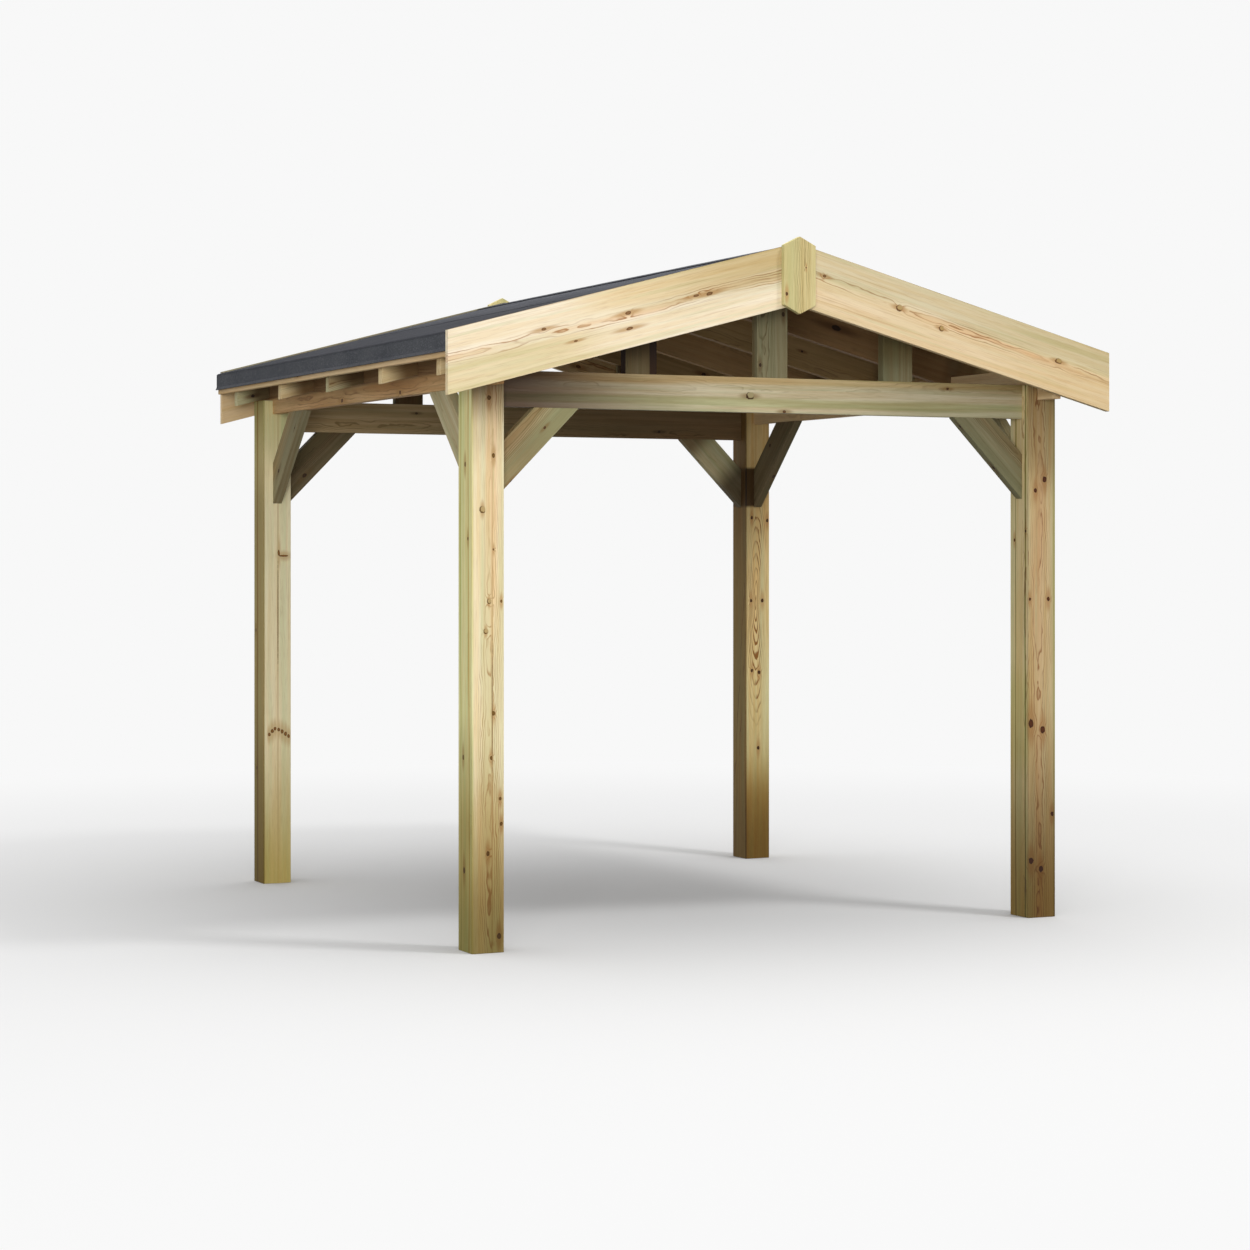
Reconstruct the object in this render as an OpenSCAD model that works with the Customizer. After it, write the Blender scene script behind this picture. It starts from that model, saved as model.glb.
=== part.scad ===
// Open garden gazebo: four posts, braced beams and a low gabled roof with felt.
// Millimetres, +Z up. The origin is on the ground, in the middle of the four posts.
// +X runs to the right across the gable front, and the front faces -Y.

/* [Posts] */
// Distance across the gable, over the outsides of the posts
frame_w = 2890; // [2200:10:3600]
// Distance from front to back, over the outsides of the posts
frame_d = 2830; // [2200:10:3600]
// Side of a square post
post_w = 145; // [120:1:180]
// Height of a post
post_h = 2425; // [2100:5:2800]

/* [Beams] */
// Thickness of the beams, braces, struts and rafters
timber_t = 45; // [35:1:60]
// Depth of a tie beam
tie_h = 153; // [100:1:180]
// Depth of an eaves plate
plate_h = 145; // [125:1:170]
// Depth of the slot in a post's top that an eaves plate stands in
plate_seat = 68; // [45:1:75]
// Distance that an eaves plate stops short of the barge boards
plate_gap = 26; // [0:1:60]

/* [Braces and struts] */
// Width of a knee brace
brace_w = 145; // [90:1:160]
// Distance from a tie beam's underside down to the feet of the knee braces
brace_drop = 367; // [240:1:600]
// Width of a king post
king_w = 152; // [95:1:180]
// Width of a side strut
strut_w = 150; // [70:1:180]
// Distance from the middle of the gable to the middle of a side strut
strut_x = 639; // [400:1:850]

/* [Rafters] */
// Slope of the roof in degrees
pitch = 14.7; // [10:0.1:22]
// Depth of a rafter, square to its length
rafter_h = 145; // [120:1:170]
// Depth of the notch that seats a rafter over the outer face of a plate
notch_h = 61; // [40:1:65]
// Reach of a rafter's tail beyond the outside of the posts
tail_out = 120; // [80:1:250]

/* [Roof] */
// Thickness of the roof boards
board_t = 20; // [14:1:28]
// Thickness of a fascia
fascia_t = 25; // [18:1:35]
// Height of a fascia's outer face
fascia_h = 75; // [60:1:120]
// Thickness of the roofing felt with its underlay
felt_t = 8; // [3:1:12]
// Height of the felt that is turned down at the eaves
felt_drop = 80; // [50:1:95]
// Outward kick of the felt's drip edge
drip_out = 6; // [2:1:8]
// Height of the kicked part of the drip edge
drip_h = 14; // [8:1:25]

/* [Gables] */
// Reach of the roof boards beyond the outside of the end posts
verge_out = 142; // [80:1:250]
// Thickness of a barge board
barge_t = 28; // [18:1:40]
// Width of a barge board, square to its length
barge_h = 257; // [200:1:300]
// Height of a barge board's top edge above the felt
barge_rise = 7; // [2:1:20]
// Reach of a front barge board's end beyond the fascia
barge_end = 32; // [15:1:60]
// Distance that a back barge board's end stops short of the fascia's face
barge_stop = 20; // [0:1:25]
// Width of a finial board
finial_w = 155; // [110:1:200]
// Height of a finial board from point to point
finial_h = 333; // [280:1:400]
// Height of each point of a finial board
finial_point = 38; // [20:1:60]
// Thickness of a finial board
finial_t = 25; // [15:1:35]
// Height of a finial's top point above the barge boards
finial_rise = 25; // [10:1:60]

/* [Hidden] */

// Names of the two sides and the two ends, and where each lies along X or Y
SIDES = [["left", -1], ["right", 1]];
ENDS = [["front", -1], ["back", 1]];
RAFTERS = 5;

// Colours of the treated timber, its darker boards and the felt
PINE = "#cfc49a";
PALE_PINE = "#e4d9b4";
SHADED_PINE = "#a08c68";
FELT = "#55575a";

// Faces of the posts, and the timbers that are centred on them
half_w = frame_w / 2;
half_d = frame_d / 2;
post_in_x = half_w - post_w;
post_in_y = half_d - post_w;
inset = (post_w - timber_t) / 2;
plate_out = half_w - inset;
plate_in = plate_out - timber_t;
tie_out = half_d - inset;
tie_in = tie_out - timber_t;
tie_z = post_h - tie_h;
plate_z = post_h - plate_seat;
plate_top = plate_z + plate_h;
brace_foot = tie_z - brace_drop;

// Lines of the roof: heights over the middle of the gable, and plumb thicknesses
slope = tan(pitch);
under_mid = plate_top - notch_h + slope * plate_out;
rafter_plumb = rafter_h / cos(pitch);
deck_mid = under_mid + rafter_plumb;
board_plumb = board_t / cos(pitch);
felt_plumb = felt_t / cos(pitch);
felt_mid = deck_mid + board_plumb;
barge_plumb = barge_h / cos(pitch);
barge_mid = felt_mid + felt_plumb + barge_rise;

// Ends of the roof across the gable and from front to back
ridge_half = timber_t / 2;
tail_x = half_w + tail_out;
fascia_x = tail_x + fascia_t;
felt_x = fascia_x + felt_t;
barge_x = fascia_x + barge_end;
verge_y = half_d + verge_out;
barge_y = verge_y + barge_t;

// Height at x of a roof line that is mid high over the middle
function fall(mid, x) = mid - slope * abs(x);

// An outline in X and Z, mirrored to a side and carried from y0 to y1
module across(side, y0, y1) {
    translate([0, y1, 0])
        rotate([90, 0, 0])
            linear_extrude(y1 - y0)
                mirror([side < 0 ? 1 : 0, 0])
                    children();
}

// The same between two distances from the middle, at the front or the back end
module at_end(side, end, near, far) {
    across(side, min(end * near, end * far), max(end * near, end * far)) children();
}

// A strip of even plumb height below a roof line, between two distances from the middle
module roof_strip(mid, plumb, x0, x1) {
    polygon([
        [x0, fall(mid, x0) - plumb], [x1, fall(mid, x1) - plumb],
        [x1, fall(mid, x1)], [x0, fall(mid, x0)]
    ]);
}

// A brace at 45 degrees in the corner under a beam, drawn from the post's face inwards
module brace_outline(corner, z) {
    low = z - brace_foot;
    high = low - brace_w * sqrt(2);
    polygon([
        [corner - low, z], [corner, z - low],
        [corner, z - high], [corner - high, z]
    ]);
}

module post(side, end) {
    color(PINE)
        translate([side * (half_w - post_w / 2), end * (half_d - post_w / 2), 0])
            difference() {
                translate([-post_w / 2, -post_w / 2, 0])
                    cube([post_w, post_w, post_h]);
                translate([-timber_t / 2, -post_w, plate_z])
                    cube([timber_t, 2 * post_w, 2 * plate_seat]);
            }
}

module tie_beam(end) {
    color(PINE)
        at_end(1, end, tie_in, tie_out)
            translate([-post_in_x, tie_z])
                square([2 * post_in_x, tie_h]);
}

module eaves_plate(side) {
    end_y = verge_y - plate_gap;
    color(SHADED_PINE)
        across(side, -end_y, end_y)
            translate([plate_in, plate_z])
                square([timber_t, plate_h]);
}

module gable_brace(side, end) {
    color(PINE)
        at_end(side, end, tie_in, tie_out)
            brace_outline(post_in_x, tie_z);
}

module side_brace(side, end) {
    color(PINE)
        translate([side * (plate_in + plate_out) / 2 - timber_t / 2, 0, 0])
            rotate([90, 0, 90])
                linear_extrude(timber_t)
                    mirror([end < 0 ? 1 : 0, 0])
                        brace_outline(post_in_y, plate_z);
}

module king_post(end) {
    color(PINE)
        at_end(1, end, tie_in, tie_out)
            polygon([
                [-king_w / 2, post_h], [king_w / 2, post_h],
                [king_w / 2, fall(under_mid, king_w / 2)], [ridge_half, fall(under_mid, ridge_half)],
                [-ridge_half, fall(under_mid, ridge_half)], [-king_w / 2, fall(under_mid, king_w / 2)]
            ]);
}

module strut(side, end) {
    inner = strut_x - strut_w / 2;
    outer = strut_x + strut_w / 2;
    color(PINE)
        at_end(side, end, tie_in, tie_out)
            polygon([
                [inner, post_h], [outer, post_h],
                [outer, fall(under_mid, outer)], [inner, fall(under_mid, inner)]
            ]);
}

module ridge_beam() {
    color(SHADED_PINE)
        across(1, -verge_y, verge_y)
            translate([-ridge_half, fall(under_mid, ridge_half)])
                square([timber_t, rafter_plumb]);
}

// Rafters are numbered from the front. The first and last stand over the tie beams and
// are cut to clear the posts
module rafter(side, number) {
    first_y = -tie_out;
    step = (tie_out + tie_in) / (RAFTERS - 1);
    y = first_y + (number - 1) * step;
    over_post = number == 1 || number == RAFTERS;
    color(SHADED_PINE)
        across(side, y, y + timber_t)
            difference() {
                roof_strip(deck_mid, rafter_plumb, ridge_half, tail_x);
                translate([plate_in, plate_z])
                    square([timber_t, plate_h]);
                if (over_post)
                    translate([post_in_x, 0])
                        square([post_w, post_h]);
            }
}

module roof_boards(side) {
    color(SHADED_PINE)
        across(side, -verge_y, verge_y)
            roof_strip(felt_mid, board_plumb, 0, fascia_x);
}

module fascia(side) {
    foot = fall(deck_mid, fascia_x) - fascia_h;
    color(PALE_PINE)
        across(side, -verge_y, verge_y)
            polygon([
                [tail_x, foot], [fascia_x, foot],
                [fascia_x, fall(deck_mid, fascia_x)], [tail_x, fall(deck_mid, tail_x)]
            ]);
}

// The felt lies on the boards and turns down over the fascia to a kicked drip edge
module roof_felt(side) {
    top = fall(felt_mid + felt_plumb, felt_x);
    foot = top - felt_drop;
    color(FELT)
        across(side, -verge_y, verge_y)
            polygon([
                [0, felt_mid], [fascia_x, fall(felt_mid, fascia_x)],
                [fascia_x, foot + drip_h], [fascia_x + drip_out, foot],
                [felt_x + drip_out, foot], [felt_x, foot + drip_h],
                [felt_x, top], [0, felt_mid + felt_plumb]
            ]);
}

// The front boards cover the ends of the fascias. The back ones stop short of the fascias' faces
module barge_board(side, end) {
    color(PALE_PINE)
        at_end(side, end, verge_y, barge_y)
            roof_strip(barge_mid, barge_plumb, 0, end < 0 ? barge_x : fascia_x - barge_stop);
}

module finial(end) {
    top = barge_mid + finial_rise;
    foot = top - finial_h;
    color(PALE_PINE)
        at_end(1, end, barge_y, barge_y + finial_t)
            polygon([
                [0, foot], [finial_w / 2, foot + finial_point], [finial_w / 2, top - finial_point],
                [0, top], [-finial_w / 2, top - finial_point], [-finial_w / 2, foot + finial_point]
            ]);
}

for (e = ENDS) {
    tie_beam(e[1]);
    king_post(e[1]);
    finial(e[1]);
}
for (e = ENDS, s = SIDES) {
    corner = str(e[0], "_", s[0]);
    post(s[1], e[1]);
    gable_brace(s[1], e[1]);
    side_brace(s[1], e[1]);
    strut(s[1], e[1]);
    barge_board(s[1], e[1]);
}
for (s = SIDES) {
    eaves_plate(s[1]);
    roof_boards(s[1]);
    fascia(s[1]);
    roof_felt(s[1]);
}
for (s = SIDES, n = [1:RAFTERS])
    rafter(s[1], n);
ridge_beam();
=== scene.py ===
"""Looks of a garden gazebo: eased pine timbers, a boarded roof, felt in courses and a plain studio.

Every timber is drawn anew from the end face of its own CAD solid, with eased edges and a grain frame of its
own (distance along, across and through the timber), so that one pine finish follows how each piece was sawn.
"""

import logging
import math
from collections.abc import Callable
from dataclasses import dataclass, replace
from enum import Enum
from functools import partial
from typing import Any
from zlib import crc32

import bpy
import numpy as np
from numpy.typing import NDArray
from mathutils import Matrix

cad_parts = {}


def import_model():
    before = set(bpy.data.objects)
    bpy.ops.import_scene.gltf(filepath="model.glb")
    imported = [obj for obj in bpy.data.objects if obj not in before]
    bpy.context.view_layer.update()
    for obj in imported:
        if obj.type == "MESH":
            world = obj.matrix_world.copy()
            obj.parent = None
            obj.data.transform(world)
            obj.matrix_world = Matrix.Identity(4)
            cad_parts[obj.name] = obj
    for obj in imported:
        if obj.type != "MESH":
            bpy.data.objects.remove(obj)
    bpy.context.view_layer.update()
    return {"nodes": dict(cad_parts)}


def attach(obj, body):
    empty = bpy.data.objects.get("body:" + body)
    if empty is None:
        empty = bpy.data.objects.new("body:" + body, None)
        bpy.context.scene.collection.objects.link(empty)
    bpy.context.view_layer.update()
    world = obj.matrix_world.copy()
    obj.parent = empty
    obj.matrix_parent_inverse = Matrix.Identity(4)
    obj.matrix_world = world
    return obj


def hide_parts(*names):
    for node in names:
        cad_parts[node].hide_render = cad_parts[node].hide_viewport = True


log = logging.getLogger("gazebo")

Array = NDArray[np.float64]
Colour = tuple[float, float, float, float]
Faces = list[list[int]]
Socket = bpy.types.NodeSocket
Adder = Callable[..., Socket | None]
Vec = tuple[float, float, float]

BODY = "root"
GRAIN = "grain"
MM = 0.001
SAME_POINT = 1e-5
DIGITS = 6
QUARTER_TURN = math.pi / 2

X_AXIS: Vec = (1.0, 0.0, 0.0)
Y_AXIS: Vec = (0.0, 1.0, 0.0)
Z_AXIS: Vec = (0.0, 0.0, 1.0)
ENDS: dict[str, int] = {"front": -1, "back": 1}
SIDES: dict[str, int] = {"left": -1, "right": 1}

# Sockets of a mix node for colours
FACTOR, BELOW, ABOVE, MIXED = 0, 6, 7, 2

# Across a timber counts upwards or, on a level section, to the right or the back
ACROSS_LOOKS: Vec = (1.0, 1.0, 2.0)
SAME_WAY = 0.5

# Flat steps in each eased edge, and how much rounder the long edges are than the ends
EASE_STEPS = 2
LONG_EDGE = 1.3


class Slot(Enum):
    """The record's material slots."""

    FRAME = "frame_pine"
    ROOF = "roof_pine"
    BARGE = "barge_pine"
    FELT = "roof_felt"


class Carry(Enum):
    """The axis that an outline is carried along, with the two axes that it is drawn in."""

    LEFT_TO_RIGHT = (0, 1, 2)
    FRONT_TO_BACK = (1, 0, 2)

    @property
    def along(self) -> int:
        """Index of the axis that the outline is carried along."""
        return self.value[0]

    @property
    def drawn(self) -> list[int]:
        """Indices of the two axes that the outline is drawn in."""
        return list(self.value[1:])


def linear(code: str) -> Colour:
    """Turns an sRGB hex colour into linear light.

    Args:
        code: colour as #rrggbb.

    Returns:
        Red, green, blue and an alpha of one.
    """
    srgb = np.array([int(code[i : i + 2], 16) for i in (1, 3, 5)]) / 255
    light = np.where(srgb <= 0.04045, srgb / 12.92, ((srgb + 0.055) / 1.055) ** 2.4)
    return (*light.tolist(), 1.0)


def add_node(
    tree: bpy.types.NodeTree,
    kind: str,
    inputs: dict[Any, Any] | None = None,
    out: str | int = 0,
    **settings: Any,
) -> Socket | None:
    """Adds a node, sets its properties and fills or links its inputs.

    Args:
        tree: node tree that takes the node.
        kind: Blender's name for the node's type.
        inputs: values or output sockets, by the input's name or number.
        out: name or number of the output that is wanted.
        settings: the node's own properties, and stops for a colour ramp as (place, grey) pairs.

    Returns:
        That output's socket, if the node has any.
    """
    node = tree.nodes.new(kind)
    for place, grey in settings.pop("stops", ()):
        ramp = node.color_ramp.elements
        stop = ramp[0] if place == 0.0 else ramp[-1] if place == 1.0 else ramp.new(place)
        stop.color = (grey, grey, grey, 1.0)
    for key, value in settings.items():
        setattr(node, key, value)
    for key, value in (inputs or {}).items():
        if isinstance(value, Socket):
            tree.links.new(value, node.inputs[key])
        else:
            node.inputs[key].default_value = value
    return node.outputs[out] if node.outputs else None


def emptied(owner: bpy.types.Material | bpy.types.World) -> Adder:
    """Empties a node tree.

    Args:
        owner: the material or world that the tree belongs to.

    Returns:
        The function that adds a node to the tree.
    """
    owner.use_nodes = True
    owner.node_tree.nodes.clear()
    return partial(add_node, owner.node_tree)


@dataclass
class Shell:
    """A closed shape: its vertices, its faces and each vertex's place in the grain frame, in metres."""

    points: Array
    faces: Faces
    grain: Array

    @staticmethod
    def joined(shells: list["Shell"]) -> "Shell":
        """Puts several shapes into one, with the faces renumbered.

        Args:
            shells: the shapes.

        Returns:
            One shape of separate parts.
        """
        starts = np.cumsum([0] + [len(s.points) for s in shells])
        faces = [[i + int(first) for i in face] for s, first in zip(shells, starts) for face in s.faces]
        points, grain = ([getattr(s, name) for s in shells] for name in ("points", "grain"))
        return Shell(np.concatenate(points), faces, np.concatenate(grain))

    def to_object(
        self, name: str, slot: Slot, material: bpy.types.Material, replaces: tuple[str, ...]
    ) -> None:
        """Makes the Blender piece, at the origin, and ties it to the frame.

        Args:
            name: the piece's name.
            slot: the record's slot that its finish comes from; not used.
            material: its finish.
            replaces: CAD nodes that it stands for.
        """
        mesh = bpy.data.meshes.new(name)
        mesh.from_pydata(self.points.tolist(), [], self.faces)
        places = mesh.attributes.new(GRAIN, "FLOAT_VECTOR", "POINT").data
        places.foreach_set("vector", self.grain.astype(np.float32).ravel())
        mesh.materials.append(material)
        mesh.update()
        piece = bpy.data.objects.new(name, mesh)
        bpy.context.scene.collection.objects.link(piece)
        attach(piece, BODY)
        if replaces:
            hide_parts(*replaces)
        log.info("%s: %d faces", name, len(self.faces))


def tube_faces(count: int, size: int) -> Faces:
    """Joins rings of points into a tube with closed ends.

    Args:
        count: number of rings, one after another along the tube.
        size: number of points in each ring.

    Returns:
        The faces, as numbers of points.
    """
    ring, i = np.meshgrid(np.arange(count - 1), np.arange(size), indexing="ij")
    a, b = ring * size + i, ring * size + (i + 1) % size
    sides = np.stack([a, a + size, b + size, b], axis=2).reshape(-1, 4).tolist()
    return sides + [list(range(size)), list(range((count - 1) * size, count * size))[::-1]]


def eased_outline(outline: Array, radius: float, inset: float, steps: int) -> Array:
    """Rounds the outer corners of a closed outline and moves it inwards.

    At a corner p whose edges have the inward normals a and b, the arc's middle is
    p + radius (a + b) / (1 + a.b), and its points lie radius - inset from that middle. An inner corner stays
    one point, p + inset (a + b) / (1 + a.b).

    Args:
        outline: corners in turn, anticlockwise.
        radius: radius of the outer corners.
        inset: distance that every edge moves inwards, less than radius.
        steps: straight steps in each rounded corner.

    Returns:
        Points of the eased outline, anticlockwise.
    """
    edge = np.roll(outline, -1, axis=0) - outline
    edge /= np.linalg.norm(edge, axis=1, keepdims=True)
    after = np.stack([-edge[:, 1], edge[:, 0]], axis=1)
    before = np.roll(after, 1, axis=0)
    turn = np.arctan2(before[:, 0] * after[:, 1] - before[:, 1] * after[:, 0], (before * after).sum(1))
    inward = (before + after) / (1 + (before * after).sum(1, keepdims=True))
    outer = turn > 0
    first = np.arctan2(-before[:, 1], -before[:, 0])
    angle = first[:, None] + turn[:, None] * np.linspace(0, 1, steps + 1)
    arc = (radius - inset) * np.stack([np.cos(angle), np.sin(angle)], axis=2)
    points = (outline + radius * inward)[:, None, :] + arc
    points[~outer] = (outline + inset * inward)[~outer][:, None, :]
    kept = np.ones(points.shape[:2], bool)
    kept[~outer, 1:] = False
    return points[kept]


def eased_prism(outline: Array, start: float, stop: float, carry: Carry, ease: float) -> tuple[Array, Faces]:
    """Carries an outline straight between two ends, with every outer edge rounded.

    Ring k of the rounding stands ease (1 - cos t) in from the end and ease (1 - sin t) inside the outline,
    for t from 0 to 90 degrees.

    Args:
        outline: corners in turn, anticlockwise, in the two axes of carry.
        start: lower end along the axis of carry.
        stop: upper end.
        carry: the axis.
        ease: radius of the rounding.

    Returns:
        Vertices and faces.
    """
    t = np.linspace(0, QUARTER_TURN, EASE_STEPS + 1)
    insets = ease * (1 - np.sin(t))
    rings = [eased_outline(outline, LONG_EDGE * ease, float(inset), EASE_STEPS) for inset in insets]
    depth = ease * (1 - np.cos(t))
    flat = np.stack(rings + rings[::-1])
    points = np.empty((*flat.shape[:2], 3))
    points[:, :, carry.drawn] = flat
    points[:, :, carry.along] = np.concatenate([start + depth, (stop - depth)[::-1]])[:, None]
    faces = tube_faces(*flat.shape[:2])
    if carry is Carry.LEFT_TO_RIGHT:
        faces = [face[::-1] for face in faces]
    return points.reshape(-1, 3), faces


def grain_frame(points: Array, run: Vec, carry: Carry) -> Array:
    """Gives each point its place along, across and through a timber.

    The distance along is counted from the timber's own end, the other two from the middle of its section.

    Args:
        points: points in the row frame.
        run: unit direction of the grain.
        carry: axis that the timber's outline is carried along.

    Returns:
        One row of three distances for each point.
    """
    through = np.eye(3)[carry.along]
    if abs(through @ np.array(run)) > SAME_WAY:
        through = np.array(X_AXIS)
    across = np.cross(through, run)
    across *= 1.0 if across @ np.array(ACROSS_LOOKS) > 0 else -1.0
    placed = points @ np.stack([run, across, through], axis=1)
    low, high = placed.min(0), placed.max(0)
    return placed - np.array([low[0], (low[1] + high[1]) / 2, (low[2] + high[2]) / 2])


class Cad:
    """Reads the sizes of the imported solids."""

    def __init__(self, nodes: dict[str, bpy.types.Object]) -> None:
        """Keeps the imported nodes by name."""
        self.nodes = nodes

    def outline(self, node: str, carry: Carry = Carry.FRONT_TO_BACK) -> tuple[Array, float, float]:
        """Reads a solid's end face as a closed outline.

        The face's rim is made of the triangle edges that no other triangle of the face shares.

        Args:
            node: the CAD node.
            carry: axis that its outline is carried along.

        Returns:
            Corners in turn, anticlockwise, and the two ends along the axis.
        """
        mesh = self.nodes[node].data
        mesh.calc_loop_triangles()
        raw = np.empty(len(mesh.vertices) * 3, np.float32)
        mesh.vertices.foreach_get("co", raw)
        corner = np.empty(len(mesh.loop_triangles) * 3, np.int32)
        mesh.loop_triangles.foreach_get("vertices", corner)
        rounded = raw.reshape(-1, 3).astype(float).round(DIGITS)
        points, merged = np.unique(rounded, axis=0, return_inverse=True)
        triangles = merged.ravel()[corner].reshape(-1, 3)
        place = points[:, carry.along]
        face = triangles[(place[triangles] < place.min() + SAME_POINT).all(1)]
        edges = {(int(row[i]), int(row[i - 2])) for row in face for i in range(3)}
        following = {a: b for a, b in edges if (b, a) not in edges}
        loop = [min(following)]
        while following[loop[-1]] != loop[0]:
            loop.append(following[loop[-1]])
        flat = points[loop][:, carry.drawn]
        ahead, behind = np.roll(flat, -1, axis=0) - flat, flat - np.roll(flat, 1, axis=0)
        turn = behind[:, 0] * ahead[:, 1] - behind[:, 1] * ahead[:, 0]
        flat = flat[np.abs(turn) > SAME_POINT**2]
        area = (flat[:, 0] * np.roll(flat[:, 1], -1) - flat[:, 1] * np.roll(flat[:, 0], -1)).sum()
        return flat if area > 0 else flat[::-1].copy(), float(place.min()), float(place.max())

    def pitch(self) -> float:
        """Reads the roof's pitch, in radians, from the top of the right slope's boards."""
        x, z = self.outline("right_roof_boards")[0].T
        rise = z.max() - z[x > x.max() - SAME_POINT].max()
        return math.atan2(rise, x.max() - x[z.argmax()])


@dataclass(frozen=True)
class Knot:
    """A branch knot: its middle in the grain frame, its radius and how far it is drawn out, in metres.

    A dead knot is dark all over. A sound one has a pale core that stands to one side of its dark rim.
    """

    along: float
    across: float
    through: float
    radius: float
    stretch: float = 1.3
    sound: bool = False


class Way(Enum):
    """The three ways in a timber's grain frame."""

    ALONG = 0
    ACROSS = 1
    THROUGH = 2


ALONG, ACROSS, THROUGH = Way


@dataclass(frozen=True)
class Share:
    """A share of a tone: the least where a value stands at clear, and the most where it stands at full."""

    clear: float
    full: float
    most: float = 1.0
    least: float = 0.0

    def of(self, value: Socket) -> dict[int, Any]:
        """Inputs of the map range node that turns a value into the share."""
        return {0: value, 1: self.clear, 2: self.full, 3: self.least, 4: self.most}


@dataclass(frozen=True)
class Part:
    """A part of a timber, which begins between two places of its grain frame."""

    way: Way
    clear: float
    full: float

    def stain_and_shade(self, tint: str) -> "StainAndShade":
        """A tint over the whole part."""
        return StainAndShade(self.way, self.clear, self.full, tint)


@dataclass(frozen=True)
class StainAndShade:
    """A tint that comes in between two places of the grain frame, with an edge that follows the streaks.

    With a middle, it is a band, and the places are distances from that middle. It may keep to some parts.
    Some are real stains in the wood, and some are painted shade where a part lies in shadow.
    """

    way: Way
    clear: float
    full: float
    tint: str
    ragged: float = 0.0
    middle: float | None = None
    only: tuple[Part, ...] = ()


@dataclass(frozen=True)
class Pine:
    """Planed pine that was pressure treated: cream sapwood with a green cast, tan growth rings, brown knots.

    Each tone is an sRGB colour. Rings stand ring_mm apart, coarser than most pine, so that they show at the
    size of the whole gazebo. They are plain within heart_reach of the pith, in metres, and faint outside it.
    """

    name: str
    pale: str
    warm: str
    late: str
    green: str
    heart: str
    knot: str = "#66442a"
    knot_rim: str = "#432a15"
    core: str = "#c3a873"
    halo: str = "#bb8f58"
    ring_mm: float = 6.5
    ring_strength: float = 0.75
    ring_faint: float = 0.14
    green_share: float = 0.55
    heart_share: float = 0.6
    heart_reach: float = 0.05
    wander: float = 0.09
    swirl: float = 0.02
    squiggle: float = 0.009
    line_share: float = 0.4


@dataclass(frozen=True)
class Streak:
    """Noise drawn out along the grain: a streak's length and width, its octaves and a number of its own."""

    along_mm: float
    across_mm: float
    detail: float
    shift: int


SLOW_BEND = Streak(1100, 240, 1.0, 0)
SWIRL = Streak(230, 90, 1.0, 31)
SQUIGGLE = Streak(62, 30, 1.0, 37)
RING_WAVE = Streak(140, 18, 2.0, 5)
RING_PATCH = Streak(330, 45, 2.0, 41)
WARM_STREAK = Streak(600, 18, 3.0, 7)
GREEN_BAND = Streak(1500, 60, 2.0, 11)
GREEN_STREAK = Streak(760, 22, 3.0, 47)
BROWN_LINE = Streak(620, 5, 2.0, 43)
FIBRE = Streak(70, 2.5, 2.0, 13)
KNOT_EDGE = Streak(16, 9, 1.0, 23)
STAIN_AND_SHADE_EDGE = Streak(800, 55, 2.0, 3)

# Shares by the value of a noise, or by a distance in a knot's radii
WARM_SHARE = Share(0.32, 0.68)
BAND_SHARE = Share(0.46, 0.66)
STREAK_SHARE = Share(0.5, 0.7)
LINE_SHARE = Share(0.58, 0.8)
FIBRE_SHARE = Share(0.45, 0.8, most=0.25)
PATCH_SHARE = Share(0.36, 0.6, least=0.3)
WHOLE_SHARE = Share(0.0, 1.0)
HALO_SHARE = Share(2.4, 0.7, most=0.7)
RIM_SHARE = Share(1.15, 0.9)
KNOT_SHARE = Share(0.85, 0.4)
CORE_SHARE = Share(0.95, 0.7, most=0.9)

# How far a knot pushes the rings aside in metres, and its shapes in its own radii
RING_PUSH = Share(3.4, 0.8, most=0.007)
KNOT_RAGGED = 0.8
SOUND_HALO = 0.5
HALO_LENGTH = 3.2
CORE_ASIDE = 0.22

# One growth ring from early to late wood, as (place, grey) pairs
RING_TONES = ((0.0, 0.1), (0.1, 0.0), (0.55, 0.08), (0.86, 1.0), (0.93, 0.9), (1.0, 0.1))

# Where the rings end and where they are plain, and where the heart is full, in heart reaches
RINGS_FADE = (1.8, 0.7)
HEART_FULL = 0.3

# The planed surface: its relief, its roughness from early to late wood and its sheen
FIBRE_RELIEF = 0.6
WOOD_MATT = Share(0.0, 1.0, most=0.58, least=0.72)
WOOD_SPECULAR = 0.25
WOOD_BUMP = {"Strength": 0.5, "Distance": 0.8 * MM}

# Ranges that a timber's seed draws from: places of the pith in metres, knots by their gap, share and radius
SEED_SPAN = 50
PITH_AWAY = (0.035, 0.07)
PITH_DRIFT = 0.008
KNOT_GAP = 0.42
KNOT_WITHIN = (0.1, 0.9)
KNOT_SPREAD = 0.8
KNOT_MM = (4, 10)

SMOOTH = {"interpolation_type": "SMOOTHSTEP"}
MIDDLE_GREY: Vec = (0.5, 0.5, 0.5)


@dataclass(frozen=True)
class Sawn:
    """How one timber was sawn and toned: its pine, its pith, the knots that are given, and its stains and
    painted shade.

    The pith is where it meets the timber's start, and lean is how far it moves across and through in each
    metre, backwards. Both are drawn from the timber's seed where they aren't given.
    """

    pine: Pine
    pith: tuple[float, float] | None = None
    lean: tuple[float, float] | None = None
    knots: tuple[Knot, ...] = ()
    stains_and_shade: tuple[StainAndShade, ...] = ()


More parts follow.
